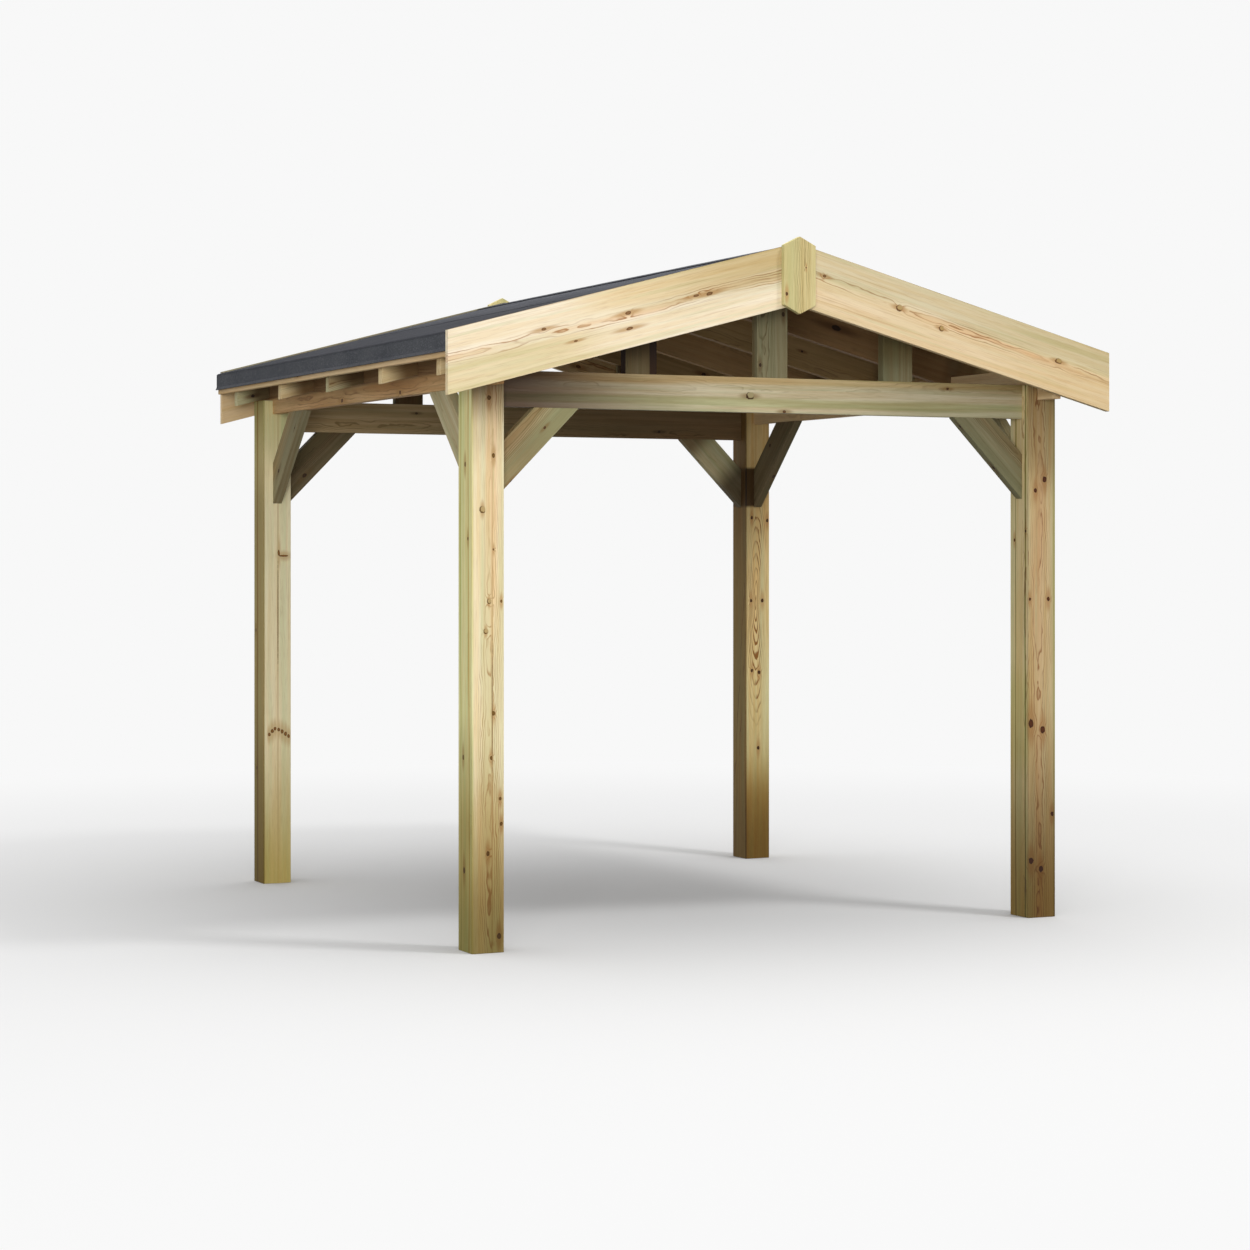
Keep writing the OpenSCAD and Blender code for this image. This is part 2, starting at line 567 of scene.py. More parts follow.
class PineNodes:
    """Builds the material of one timber, node by node."""

    def __init__(self, piece: str, sawn: Sawn, knots: tuple[Knot, ...]) -> None:
        """Starts an empty material.

        Args:
            piece: the timber's name, which seeds its pattern.
            sawn: how it was sawn.
            knots: its knots.
        """
        self.pine, self.stains_and_shade, self.knots = sawn.pine, sawn.stains_and_shade, knots
        rng = np.random.default_rng(crc32(piece.encode()))
        self.seed = float(rng.uniform(0, SEED_SPAN))
        away, side = rng.uniform(*PITH_AWAY), rng.uniform(0, 2 * math.pi)
        self.pith = sawn.pith or (away * math.cos(side), away * math.sin(side))
        drift = rng.uniform(-PITH_DRIFT, PITH_DRIFT, 2).tolist()
        self.lean = sawn.lean or drift
        self.material = bpy.data.materials.new(f"{self.pine.name}_{piece}")
        self.add = emptied(self.material)
        self.grain = self.add("ShaderNodeAttribute", out="Vector", attribute_name=GRAIN)

    def streaks(self, streak: Streak, out: str | int = 0) -> Socket:
        """Adds noise that is drawn out along the grain.

        Args:
            streak: the noise's sizes.
            out: the output that is wanted, its value or its colour.

        Returns:
            That output's socket.
        """
        narrow = 1 / (streak.across_mm * MM)
        scale = (1 / (streak.along_mm * MM), narrow, narrow)
        place = self.add("ShaderNodeVectorMath", {0: self.grain, 1: scale}, operation="MULTIPLY")
        noise = {"Vector": place, "W": self.seed + streak.shift, "Scale": 1.0, "Detail": streak.detail}
        return self.add("ShaderNodeTexNoise", noise, out, noise_dimensions="4D")

    def knot_reach(self, knots: tuple[Knot, ...], drawn_out: float = 1.0, aside: float = 0.0) -> Socket:
        """Adds the distance to the nearest knot, in that knot's own radii.

        Args:
            knots: the knots, at least one.
            drawn_out: how much longer than the knot the shape is along the grain.
            aside: how far the shape stands beside the knot's middle, in radii.

        Returns:
            Output socket of the distance.
        """
        nearest = None
        for k in knots:
            middle = (k.along + aside * k.radius, k.across + aside * k.radius, k.through)
            shape = (1 / (k.radius * k.stretch * drawn_out), 1 / k.radius, 1 / k.radius)
            away = self.add("ShaderNodeVectorMath", {0: self.grain, 1: middle}, operation="SUBTRACT")
            radii = self.add("ShaderNodeVectorMath", {0: away, 1: shape}, operation="MULTIPLY")
            reach = self.add("ShaderNodeVectorMath", {0: radii}, "Value", operation="LENGTH")
            if nearest is not None:
                reach = self.add("ShaderNodeMath", {0: nearest, 1: reach}, operation="MINIMUM")
            nearest = reach
        return nearest

    def pith_distance(self) -> Socket:
        """Adds the distance from a pith that leans and wanders, so that a flat face cuts long flames.

        Returns:
            Output socket of the distance in metres.
        """
        add, lean, pine, bent = self.add, self.lean, self.pine, self.grain
        for streak, most in ((SLOW_BEND, pine.wander), (SWIRL, pine.swirl), (SQUIGGLE, pine.squiggle)):
            noise = {0: self.streaks(streak, "Color"), 1: MIDDLE_GREY}
            centred = add("ShaderNodeVectorMath", noise, operation="SUBTRACT")
            sideways = {0: centred, 1: (0.0, most, most)}
            bend = add("ShaderNodeVectorMath", sideways, operation="MULTIPLY")
            bent = add("ShaderNodeVectorMath", {0: bent, 1: bend}, operation="ADD")
        section = {}
        for i, way in enumerate(((lean[0], 1.0, 0.0), (lean[1], 0.0, 1.0))):
            section[i] = add("ShaderNodeVectorMath", {0: bent, 1: way}, "Value", operation="DOT_PRODUCT")
        from_pith = {0: add("ShaderNodeCombineXYZ", section), 1: (*self.pith, 0.0)}
        away = add("ShaderNodeVectorMath", from_pith, operation="SUBTRACT")
        return add("ShaderNodeVectorMath", {0: away}, "Value", operation="LENGTH")

    def rings(self, radius: Socket, reach: Socket) -> Socket:
        """Adds the dark late wood of the growth rings, which the knots push aside.

        Args:
            radius: distance from the pith.
            reach: distance from the nearest knot, in radii.

        Returns:
            Output socket of the late wood's share.
        """
        add, pine = self.add, self.pine
        bulge = add("ShaderNodeMapRange", RING_PUSH.of(reach), **SMOOTH)
        pushed = add("ShaderNodeMath", {0: radius, 1: bulge}, operation="ADD")
        years = {0: pushed, 1: 1 / (pine.ring_mm * MM)}
        count = add("ShaderNodeMath", years, operation="MULTIPLY")
        uneven = add("ShaderNodeMath", {0: self.streaks(RING_WAVE), 1: count}, operation="ADD")
        cycle = add("ShaderNodeMath", {0: uneven}, operation="FRACT")
        late = add("ShaderNodeValToRGB", {0: cycle}, stops=RING_TONES)
        end, near = (part * pine.heart_reach for part in RINGS_FADE)
        plain = Share(end, near, pine.ring_strength, pine.ring_faint)
        shown = add("ShaderNodeMapRange", plain.of(radius), **SMOOTH)
        patchy = add("ShaderNodeMapRange", PATCH_SHARE.of(self.streaks(RING_PATCH)), **SMOOTH)
        clear = add("ShaderNodeMath", {0: late, 1: shown}, operation="MULTIPLY")
        return add("ShaderNodeMath", {0: clear, 1: patchy}, operation="MULTIPLY")

    def shaken(self, reach: Socket) -> Socket:
        """Makes a knot's edge uneven, by up to four tenths of its radius.

        Args:
            reach: distance from the knot, in radii.

        Returns:
            Output socket of the uneven distance.
        """
        rough = {0: self.streaks(KNOT_EDGE), 1: KNOT_RAGGED, 2: reach}
        spread = self.add("ShaderNodeMath", rough, operation="MULTIPLY_ADD")
        return self.add("ShaderNodeMath", {0: spread, 1: KNOT_RAGGED / 2}, operation="SUBTRACT")

    def toned(self, radius: Socket, around: Socket, ring: Socket, fibre: Socket) -> Socket:
        """Lays the tones of the wood and its knots over one another.

        Args:
            radius: distance from the pith.
            around: distance from the nearest knot, in radii.
            ring: share of late wood.
            fibre: noise of the fibres.

        Returns:
            Output socket of the colour.
        """
        pine, reach = self.pine, self.shaken(around)
        halos = tuple(replace(k, radius=SOUND_HALO * k.radius) if k.sound else k for k in self.knots)
        layers = [
            (pine.warm, self.streaks(WARM_STREAK), WARM_SHARE),
            (pine.heart, radius, Share(pine.heart_reach, HEART_FULL * pine.heart_reach, pine.heart_share)),
            (pine.green, self.streaks(GREEN_BAND), replace(BAND_SHARE, most=pine.green_share)),
            (pine.green, self.streaks(GREEN_STREAK), replace(STREAK_SHARE, most=pine.green_share)),
            (pine.late, self.streaks(BROWN_LINE), replace(LINE_SHARE, most=pine.line_share)),
            (pine.late, ring, WHOLE_SHARE),
            (pine.late, fibre, FIBRE_SHARE),
            (pine.halo, self.knot_reach(halos, drawn_out=HALO_LENGTH), HALO_SHARE),
            (pine.knot_rim, reach, RIM_SHARE),
            (pine.knot, reach, KNOT_SHARE),
        ]
        sound = tuple(k for k in self.knots if k.sound)
        if sound:
            layers.append((pine.core, self.shaken(self.knot_reach(sound, aside=CORE_ASIDE)), CORE_SHARE))
        colour = linear(pine.pale)
        for tone, value, shares in layers:
            share = self.add("ShaderNodeMapRange", shares.of(value), **SMOOTH)
            layer = {FACTOR: share, BELOW: colour, ABOVE: linear(tone)}
            colour = self.add("ShaderNodeMix", layer, MIXED, data_type="RGBA")
        return colour

    def stained_and_shaded(self, colour: Socket) -> Socket:
        """Multiplies the timber's stains and painted shade into its colour.

        Args:
            colour: the wood's colour.

        Returns:
            Output socket of the stained and shaded colour.
        """
        add = self.add
        ways = add("ShaderNodeSeparateXYZ", {0: self.grain}).node.outputs
        edge = self.streaks(STAIN_AND_SHADE_EDGE)
        for stain_and_shade in self.stains_and_shade:
            ragged = {0: edge, 1: stain_and_shade.ragged, 2: ways[stain_and_shade.way.value]}
            place = add("ShaderNodeMath", ragged, operation="MULTIPLY_ADD")
            offset = {0: place, 1: stain_and_shade.ragged / 2 + (stain_and_shade.middle or 0.0)}
            place = add("ShaderNodeMath", offset, operation="SUBTRACT")
            if stain_and_shade.middle is not None:
                place = add("ShaderNodeMath", {0: place}, operation="ABSOLUTE")
            spread = Share(stain_and_shade.clear, stain_and_shade.full).of(place)
            share = add("ShaderNodeMapRange", spread, **SMOOTH)
            for part in stain_and_shade.only:
                kept = Share(part.clear, part.full).of(ways[part.way.value])
                within = add("ShaderNodeMapRange", kept, **SMOOTH)
                share = add("ShaderNodeMath", {0: share, 1: within}, operation="MULTIPLY")
            layer = {FACTOR: share, BELOW: colour, ABOVE: linear(stain_and_shade.tint)}
            colour = add("ShaderNodeMix", layer, MIXED, data_type="RGBA", blend_type="MULTIPLY")
        return colour

    def build(self) -> bpy.types.Material:
        """Makes the surface: matt wood with a slight relief of rings and fibres.

        Returns:
            The finished material.
        """
        add, pine = self.add, self.pine
        radius, around = self.pith_distance(), self.knot_reach(self.knots)
        ring, fibre = self.rings(radius, around), self.streaks(FIBRE)
        colour = self.stained_and_shaded(self.toned(radius, around, ring, fibre))
        height = {0: fibre, 1: FIBRE_RELIEF, 2: ring}
        relief = add("ShaderNodeMath", height, operation="MULTIPLY_ADD")
        bump = add("ShaderNodeBump", {"Height": relief, **WOOD_BUMP})
        rough = add("ShaderNodeMapRange", WOOD_MATT.of(ring))
        surface = {"Base Color": colour, "Normal": bump, "Roughness": rough}
        shader = add("ShaderNodeBsdfPrincipled", {**surface, "Specular IOR Level": WOOD_SPECULAR})
        add("ShaderNodeOutputMaterial", {"Surface": shader})
        return self.material


@dataclass(frozen=True)
class Felt:
    """Mineral roofing felt: a bitumen sheet faced with crushed slate, matt and speckled.

    The grit is drawn about 4 mm across, coarser than the real 1 mm, so that it shows.
    """

    name: str = "mineral_roofing_felt"
    dark: str = "#484a4f"
    mid: str = "#56585c"
    light: str = "#7d7f84"
    grit_mm: float = 4.0
    grit_detail: float = 2.0
    grit_bump_mm: float = 1.0
    grit_strength: float = 0.6
    mottle_mm: float = 260.0
    mottle_detail: float = 3.0
    mottled: Share = Share(0.3, 0.7)
    flecked: Share = Share(0.52, 0.75, most=0.8)
    # Painted shade on the slope above the eaves bend, darkest just above it and lighter towards the ridge
    slope_shade: str = "#b4b3b7"
    ridge_shade: str = "#eeedf0"
    bend_mm: float = 14.0
    low_mm: float = 120.0
    high_mm: float = 380.0
    rough: float = 0.95
    specular: float = 0.05

    def material(self, bend_z: float) -> bpy.types.Material:
        """Makes the felt, patterned on Object coordinates.

        Args:
            bend_z: height of the bend at the eaves; painted shade makes the felt darkest just above it.

        Returns:
            The material.
        """
        made = bpy.data.materials.new(self.name)
        add = emptied(made)
        place = add("ShaderNodeTexCoord", out="Object")
        clouds = {"Vector": place, "Scale": 1 / (self.mottle_mm * MM), "Detail": self.mottle_detail}
        grains = {"Vector": place, "Scale": 1 / (self.grit_mm * MM), "Detail": self.grit_detail}
        mottle = add("ShaderNodeTexNoise", clouds)
        grit = add("ShaderNodeTexNoise", grains)
        shade = add("ShaderNodeMapRange", self.mottled.of(mottle))
        sheet = {FACTOR: shade, BELOW: linear(self.dark), ABOVE: linear(self.mid)}
        colour = add("ShaderNodeMix", sheet, MIXED, data_type="RGBA")
        fleck = add("ShaderNodeMapRange", self.flecked.of(grit))
        slate = {FACTOR: fleck, BELOW: colour, ABOVE: linear(self.light)}
        colour = add("ShaderNodeMix", slate, MIXED, data_type="RGBA")
        # Painted shade: the slope above the bend is darkened, most just above it
        height = add("ShaderNodeSeparateXYZ", {0: place}, "Z")
        bend = Share(bend_z - self.bend_mm * MM, bend_z).of(height)
        above = add("ShaderNodeMapRange", bend, **SMOOTH)
        rise = Share(bend_z + self.low_mm * MM, bend_z + self.high_mm * MM).of(height)
        upper = add("ShaderNodeMapRange", rise, **SMOOTH)
        shade_tints = {FACTOR: upper, BELOW: linear(self.slope_shade), ABOVE: linear(self.ridge_shade)}
        tint = add("ShaderNodeMix", shade_tints, MIXED, data_type="RGBA")
        slope = {FACTOR: above, BELOW: colour, ABOVE: tint}
        colour = add("ShaderNodeMix", slope, MIXED, data_type="RGBA", blend_type="MULTIPLY")
        relief = {"Height": grit, "Strength": self.grit_strength, "Distance": self.grit_bump_mm * MM}
        bump = add("ShaderNodeBump", relief)
        surface = {"Base Color": colour, "Normal": bump, "Roughness": self.rough}
        shader = add("ShaderNodeBsdfPrincipled", {**surface, "Specular IOR Level": self.specular})
        add("ShaderNodeOutputMaterial", {"Surface": shader})
        return made


# Posts: cream at the front left, paler at the back left, pinker at the front right, gold at the back right
POST_PINE = Pine(
    "treated_pine_post", pale="#f9eac4", warm="#f1d9a6", late="#a9773f", green="#d6d5a4", heart="#efc38c",
    knot="#7a5826", knot_rim="#5e4116")
PALE_POST = replace(
    POST_PINE, name="treated_pine_pale_post", pale="#fff3ca", warm="#f8e6b6", green="#e6e6b8",
    ring_strength=0.2, heart_share=0.12, knot="#8f6234", knot_rim="#6f4722", halo="#cfae78")
PINK_POST = replace(
    POST_PINE, name="treated_pine_pink_post", pale="#e9d7a5", warm="#dac186", late="#98683a",
    heart="#d6a472", knot="#5c2f0c", knot_rim="#47230a")
GOLD_POST = replace(
    POST_PINE, name="treated_pine_gold_post", pale="#ebd89f", warm="#dec07f", late="#8c5c28",
    heart="#deaa66", ring_strength=1.5, ring_mm=8.0, heart_share=0.25, wander=0.01, swirl=0.006,
    squiggle=0.004, knot="#4a2d10", knot_rim="#38200a")
# Beams and braces: a green grey, with lighter, darker, duller and browner copies that are painted light and
# shade for how much light falls there, and browner at the back
FRAME_PINE = Pine(
    "treated_pine_frame", pale="#c4bb91", warm="#ae9d70", late="#806a3e", green="#999d72",
    heart="#ae8c5b", halo="#917346", core="#b7a87c")
LIGHT_PINE = replace(
    FRAME_PINE, name="treated_pine_light_frame", pale="#dfd4ac", warm="#ccba8c", green="#aeb184",
    ring_strength=0.42)
DARK_PINE = Pine(
    "treated_pine_dark_frame", pale="#938d6c", warm="#827554", late="#574728", green="#737555",
    heart="#80643c", halo="#685335", knot="#3f2c1b", knot_rim="#2c1d10", core="#85795a")
DULL_PINE = replace(
    FRAME_PINE, name="treated_pine_dull_frame", pale="#897f62", warm="#786a49", green="#737353",
    halo="#6d5838", knot="#46311e", knot_rim="#332214")
OLIVE_PINE = replace(DULL_PINE, name="treated_pine_olive_frame", pale="#a69c7c", warm="#927f5a")
SIDE_PINE = replace(LIGHT_PINE, name="treated_pine_side_brace", pale="#c9bf99", warm="#b7a67c")
TIE_PINE = replace(LIGHT_PINE, name="treated_pine_tie_beam", pale="#e8ddbd", warm="#d4c29b")
BROWN_PINE = replace(
    DULL_PINE, name="treated_pine_brown_frame", pale="#78694d", warm="#67583a", late="#40331c",
    green="#5c5638", heart="#654d2d")
BACK_PINE = replace(
    DULL_PINE, name="treated_pine_back_beam", pale="#c4aa80", warm="#ac9164", green="#9c8e66")
# Under the roof: warm brown ridge beam and boards, the boards darker still as painted shade under the roof,
# with tan, cream and grey rafters
ROOF_PINE = Pine(
    "treated_pine_roof", pale="#b8996c", warm="#9a794f", late="#6c4e2c", green="#938358", heart="#8e6740",
    green_share=0.3, halo="#7c5a35", knot="#422b19", knot_rim="#2e1d0f")
CREAM_PINE = replace(
    ROOF_PINE, name="treated_pine_cream_rafter", pale="#ecd6a6", warm="#dcc08c", green="#cdbf88")
GREY_PINE = replace(
    ROOF_PINE, name="treated_pine_grey_rafter", pale="#cfc9a0", warm="#bcb284", green="#b0ae80")
FRONT_PINE = replace(
    ROOF_PINE, name="treated_pine_front_rafter", pale="#dec89a", warm="#ceb280", green="#cdbf88")
BOARD_PINE = replace(
    ROOF_PINE, name="treated_pine_roof_board", pale="#9b815b", warm="#816642", late="#5b4225",
    green="#7b6e4a", heart="#775636")
# Eaves plates: orange tan with wide rings, the right one paler
PLATE_PINE = Pine(
    "treated_pine_plate", pale="#e8c08a", warm="#cb9f6a", late="#8a5c30", green="#ccb17c",
    heart="#b9844d", green_share=0.3, ring_mm=11.0, ring_strength=0.7, squiggle=0.004)
PALE_PLATE = replace(PLATE_PINE, name="treated_pine_pale_plate", pale="#f8dcae", warm="#e6c493")
# Barge boards and fascias: the palest cream, with tan flames along the middle
BARGE_PINE = Pine(
    "treated_pine_barge", pale="#fbeed4", warm="#f3dfba", late="#a8733e", green="#dcd8ae",
    heart="#ecc08e", heart_reach=0.022, wander=0.06, ring_faint=0.0, ring_mm=9.0, ring_strength=0.9,
    green_share=0.5, knot="#8c6640", knot_rim="#6c4a2a")
FASCIA_PINE = replace(
    BARGE_PINE, name="treated_pine_fascia", pale="#eccea2", warm="#ddb882", green="#c7b57e")
# Finials: a cream that is nearly yellow green
FINIAL_PINE = Pine(
    "treated_pine_finial", pale="#ded29c", warm="#d1c188", late="#8a7038", green="#b3b479",
    heart="#c6a96e", heart_share=0.35, ring_mm=8.0)


@dataclass
class Timber:
    """One sawn timber, drawn from its CAD solid with eased edges.

    Attributes:
        node: the CAD node that it stands for.
        run: unit direction of its grain.
        sawn: how it was sawn; a timber with no knots of its own draws them from its seed.
        slot: the record's slot.
        carry: axis that its outline is carried along.
        ease: radius of its eased edges, in metres.
    """

    node: str
    run: Vec
    sawn: Sawn
    slot: Slot
    carry: Carry = Carry.FRONT_TO_BACK
    ease: float = 1.5 * MM

    def seeded_knots(self, grain: Array) -> tuple[Knot, ...]:
        """Draws knots on the four long faces, from the piece's own seed.

        Args:
            grain: grain frame of the timber's points.

        Returns:
            The knots.
        """
        rng = np.random.default_rng(crc32(self.node.encode()) + 1)
        length = float(grain[:, 0].max())
        half = grain[:, 1:].max(0)
        count = max(2, round(length / KNOT_GAP))
        along = (np.arange(count) + rng.uniform(*KNOT_WITHIN, count)) * length / count
        face = rng.integers(0, 2, count)
        far = rng.choice([-1.0, 1.0], count)
        loose = rng.uniform(-KNOT_SPREAD, KNOT_SPREAD, count)
        across = np.where(face == 0, far, loose) * half[0]
        through = np.where(face == 0, loose, far) * half[1]
        radius = rng.uniform(*KNOT_MM, count) * MM
        return tuple(Knot(*map(float, row)) for row in zip(along, across, through, radius))

    def build(self, cad: Cad) -> None:
        """Draws the timber and dresses it.

        Args:
            cad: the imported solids.
        """
        outline, start, stop = cad.outline(self.node, self.carry)
        points, faces = eased_prism(outline, start, stop, self.carry, self.ease)
        grain = grain_frame(points, self.run, self.carry)
        finish = PineNodes(self.node, self.sawn, self.sawn.knots or self.seeded_knots(grain)).build()
        Shell(points, faces, grain).to_object(f"{self.node}_timber", self.slot, finish, (self.node,))


def on_front(depth: float, *rows: tuple[float, ...]) -> tuple[Knot, ...]:
    """Sets knots on a front face, from rows of along, across, radius and, for some, stretch and sound."""
    return tuple(Knot(along, across, depth, *rest) for along, across, *rest in rows)


def on_left(depth: float, *rows: tuple[float, ...]) -> tuple[Knot, ...]:
    """Sets knots on a left face, from rows of along, through and radius."""
    return tuple(Knot(along, depth, *rest) for along, *rest in rows)


# Depths of the front or left faces in the grain frame, in metres
POST_FACE = -0.0725
BEAM_FACE = -0.0225
BARGE_FACE = -0.014
FINIAL_FACE = -0.0125

FRONT_FACE = Part(THROUGH, -0.066, -0.0715)
LEFT_FACE = Part(ACROSS, -0.062, -0.0715)
NEAR_LEFT = Part(ACROSS, 0.03, 0.01)
UPPER_HALF = Part(ACROSS, -0.08, 0.05)
LOWER_HALF = Part(ACROSS, 0.0, -0.03)
LOW_END = Part(ALONG, 1.2, 0.85)
# The inner part of a rafter, inwards of its tail: its tints are painted shade under the roof
INSIDE_SHADE = Part(ALONG, 1.47, 1.36)
# A darker line along the top edge of the front barge boards
DARK_TOP_EDGE = StainAndShade(ACROSS, 0.1265, 0.1283, "#8c7f6c")
EAVES_SHADE = StainAndShade(ALONG, 0.15, 0.03, "#8c7c6c", middle=1.47)
# Painted shade that dulls the lit top edge of the back barge boards
TOP_EDGE_SHADE = StainAndShade(ACROSS, 0.104, 0.116, "#9aa6b4")
GOLDEN = StainAndShade(THROUGH, 0.006, -0.006, "#f0dfc4")
SHADED = StainAndShade(THROUGH, 0.012, -0.008, "#7d6650")

COMMON = Sawn(FRAME_PINE)
BACK_BARGE = Sawn(BARGE_PINE, stains_and_shade=(TOP_EDGE_SHADE, GOLDEN))
BACK_GABLE = Sawn(FRAME_PINE, stains_and_shade=(SHADED,))

